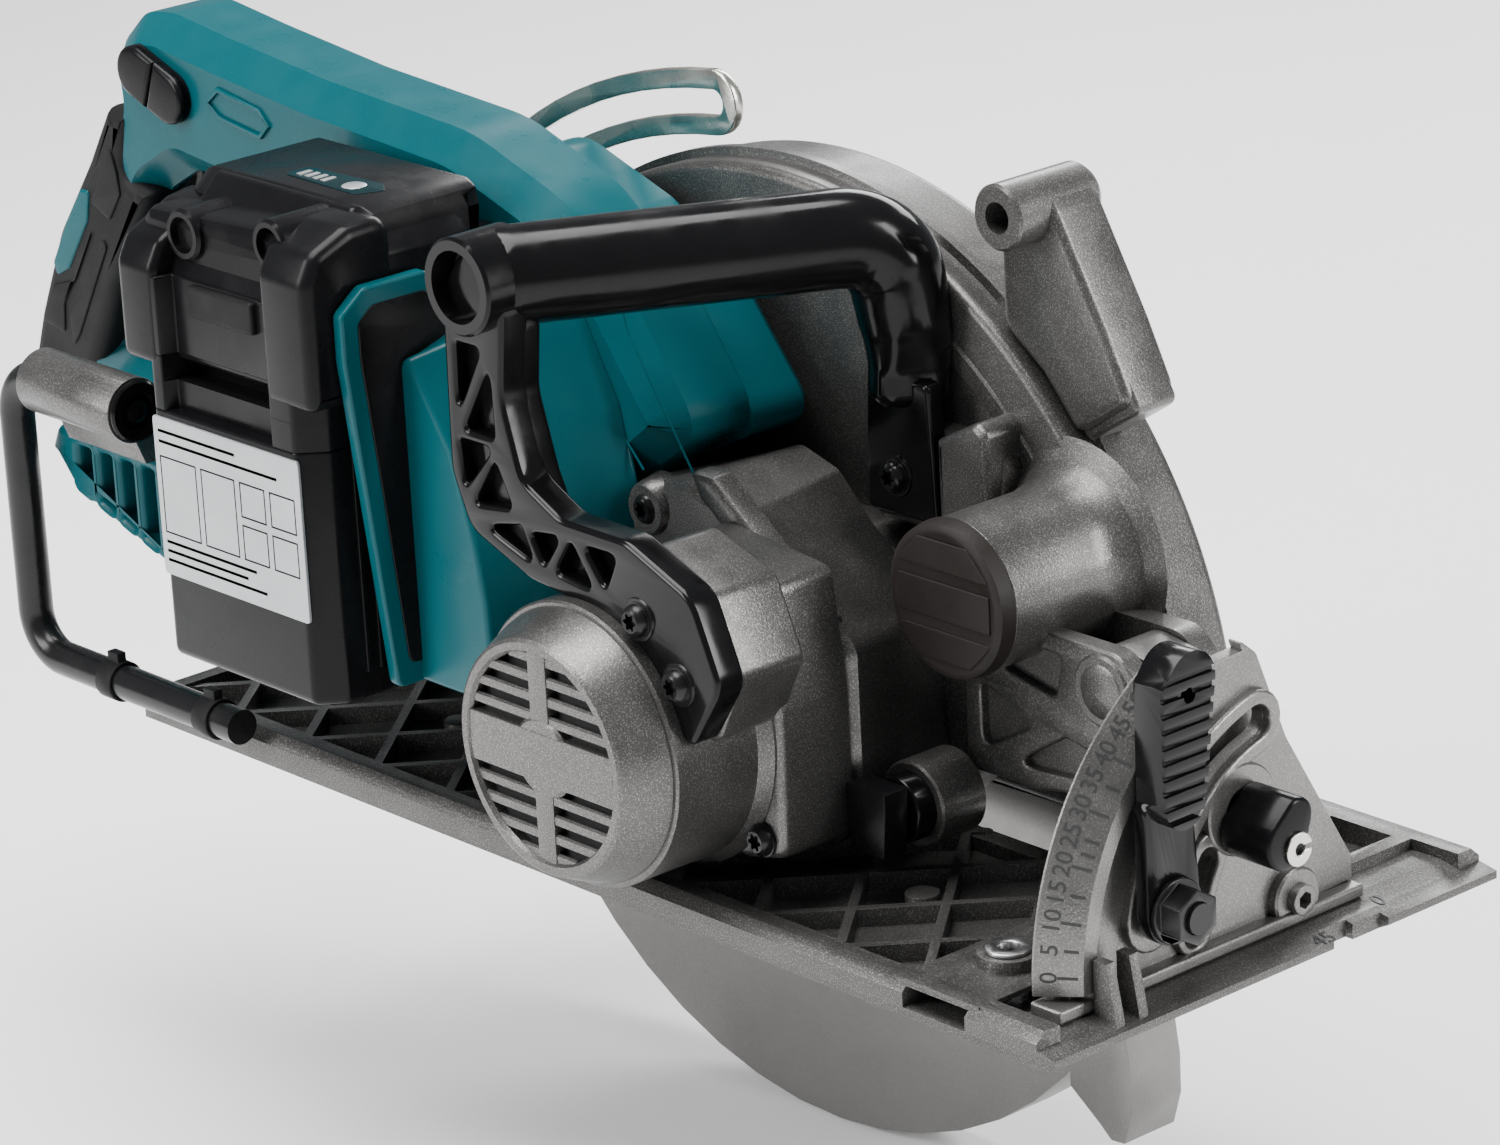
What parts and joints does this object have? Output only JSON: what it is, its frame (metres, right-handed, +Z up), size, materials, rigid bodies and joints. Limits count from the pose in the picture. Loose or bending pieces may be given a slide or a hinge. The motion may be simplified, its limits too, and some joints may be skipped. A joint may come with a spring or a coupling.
{
  "type": "circular saw",
  "caption": "Cordless rear-handle circular saw with a tilting, height-adjustable body on a cast base plate.",
  "frame": {"origin": "on the base plate's sole, under the spindle's axis lengthwise and 53 mm to the motor side of the blade", "axes": "+X in the direction of cut, towards the bevel scale; +Y towards the blade side; +Z up, away from the work"},
  "size_m": [0.477, 0.187, 0.2985],
  "materials": {
    "shoe_paint": "fine-speckled dark grey paint",
    "housing_paint": "fine-speckled dark grey paint",
    "cast_alloy": "satin as-cast and machined",
    "guard_metal": "satin",
    "teal_plastic": "semi-gloss",
    "black_plastic": "semi-gloss",
    "grip_rubber": "matte",
    "cap_rubber": "matte",
    "steel": "satin",
    "zinc": "zinc plated",
    "black_steel": "satin black",
    "copper": "enamelled copper wire",
    "cell_wrap": "shrink wrap"
  },
  "bodies": {
    "shoe": {"base_plate": "shoe_paint", "bevel_quadrant": "cast_alloy", "quadrant_screws": "zinc", "fence_insert": "steel", "fence_screw": "zinc", "bevel_pin_front": "steel", "bevel_pin_rear": "steel"},
    "stop_knob": {"bevel_stop_knob": "grip_rubber", "stop_clip": "zinc"},
    "bracket": {"front_bracket": "cast_alloy", "bevel_bolt": "zinc"},
    "lever": {"bevel_lever": "black_plastic", "bevel_nut": "zinc"},
    "rear_pivot": {"rear_bracket": "zinc", "guide_rivet": "steel"},
    "guide": {"depth_guide": "zinc"},
    "saw": {"upper_guard": "housing_paint", "gear_housing": "housing_paint", "motor_housing": "housing_paint", "vent_cover": "cast_alloy", "housing_screws": "black_steel", "depth_pin": "steel", "front_handle": "black_plastic", "handle_screws": "black_steel", "handle_half_right": "teal_plastic", "handle_half_left": "teal_plastic", "grip_rubber": "grip_rubber", "teal_cover": "teal_plastic", "hook_tube": "housing_paint", "battery_mount": "black_plastic", "switch_body": "black_plastic", "controller": "cast_alloy", "stator": "steel", "windings": "copper", "motor_bearings": "steel", "spindle_bearings": "steel", "lock_sleeve": "black_plastic", "guard_ring": "steel", "guard_spring": "steel", "depth_clamp": "zinc", "hex_wrench": "zinc"},
    "lower_guard": {"lower_guard": "guard_metal"},
    "motor_shaft": {"rotor": "steel", "fan": "black_plastic"},
    "countershaft": {"countershaft": "steel"},
    "spindle": {"spindle": "steel", "blade_flanges": "steel", "blade": "steel", "blade_bolt": "zinc"},
    "lock_button": {"spindle_lock": "grip_rubber"},
    "cap": {"dust_cap": "cap_rubber"},
    "clamp_lever": {"depth_lever": "black_plastic"},
    "trigger": {"trigger": "black_plastic"},
    "lock_off": {"lock_off_button": "black_plastic"},
    "battery": {"battery_case": "black_plastic", "battery_cover": "black_plastic", "battery_cells": "cell_wrap"},
    "battery_release": {"battery_button": "grip_rubber"},
    "hook": {"rafter_hook": "black_steel", "hook_sleeves": "grip_rubber"}
  },
  "joints": [
    {"name": "bevel", "type": "hinge", "parent": "shoe", "child": "bracket", "pos_m": [0.17, 0.037, 0.0125], "axis": [-1, 0, 0], "range_deg": [0, 56]},
    {"name": "rear_bevel", "type": "hinge", "parent": "shoe", "child": "rear_pivot", "pos_m": [-0.147, 0.037, 0.0125], "axis": [-1, 0, 0], "range_deg": [0, 56]},
    {"name": "bevel_clamp", "type": "hinge", "parent": "bracket", "child": "lever", "pos_m": [0.193, -0.01299, 0.02683], "axis": [1, 0, 0], "range_deg": [0, 60]},
    {"name": "stop_turn", "type": "hinge", "parent": "shoe", "child": "stop_knob", "pos_m": [0.195, 0.018, 0.042], "axis": [1, 0, 0], "range_deg": [-15, 15]},
    {"name": "depth", "type": "hinge", "parent": "bracket", "child": "saw", "pos_m": [0.15, 0.023, 0.066], "axis": [0, 1, 0], "range_deg": [0, 31]},
    {"name": "guide_turn", "type": "hinge", "parent": "rear_pivot", "child": "guide", "pos_m": [-0.1474, 0.041, 0.026], "axis": [0, 1, 0], "range_deg": [-28.1, 0]},
    {"name": "guard_swing", "type": "hinge", "parent": "saw", "child": "lower_guard", "pos_m": [0, 0.045, 0.027], "axis": [0, 1, 0], "range_deg": [0, 100], "stiffness_Nm_per_rad": 0.25, "springref_deg": -68.75},
    {"name": "spindle_spin", "type": "hinge", "parent": "saw", "child": "spindle", "pos_m": [0, 0.053, 0.027], "axis": [0, 1, 0], "continuous": true},
    {"name": "counter_spin", "type": "hinge", "parent": "saw", "child": "countershaft", "pos_m": [0.01752, 0.02, 0.05105], "axis": [0, 1, 0], "continuous": true},
    {"name": "motor_spin", "type": "hinge", "parent": "saw", "child": "motor_shaft", "pos_m": [0.046, -0.04, 0.05], "axis": [0, 1, 0], "continuous": true},
    {"name": "lock_press", "type": "slide", "parent": "saw", "child": "lock_button", "axis": [0, 1, 0], "range_m": [0, 0.0018], "stiffness_N_per_m": 800, "springref_m": -0.003},
    {"name": "cap_pull", "type": "slide", "parent": "saw", "child": "cap", "axis": [0, -1, 0], "range_m": [0, 0.03]},
    {"name": "clamp_turn", "type": "hinge", "parent": "saw", "child": "clamp_lever", "pos_m": [-0.1565, 0.046, 0.06027], "axis": [0, 1, 0], "range_deg": [0, 45]},
    {"name": "trigger_pull", "type": "hinge", "parent": "saw", "child": "trigger", "pos_m": [-0.191, 0, 0.148], "axis": [0, 1, 0], "range_deg": [0, 10], "stiffness_Nm_per_rad": 0.4, "springref_deg": -8.59},
    {"name": "lock_off_press", "type": "slide", "parent": "saw", "child": "lock_off", "axis": [0, 1, 0], "range_m": [-0.003, 0.003], "stiffness_N_per_m": 500},
    {"name": "battery_slide", "type": "slide", "parent": "saw", "child": "battery", "axis": [0, 0, 1], "range_m": [0, 0.09]},
    {"name": "release_press", "type": "slide", "parent": "battery", "child": "battery_release", "axis": [0, 1, 0], "range_m": [0, 0.002], "stiffness_N_per_m": 800, "springref_m": -0.003},
    {"name": "hook_swing", "type": "hinge", "parent": "saw", "child": "hook", "pos_m": [-0.18, -0.0656, 0.096], "axis": [-1, 0, 0], "range_deg": [0, 90]}
  ],
  "couplings": [
    {"joint": "rear_bevel", "follows": "bevel", "ratio": 1},
    {"joint": "guide_turn", "follows": "depth", "ratio": -0.905},
    {"joint": "counter_spin", "follows": "spindle_spin", "ratio": -1.8333},
    {"joint": "motor_spin", "follows": "spindle_spin", "ratio": 6.875}
  ]
}
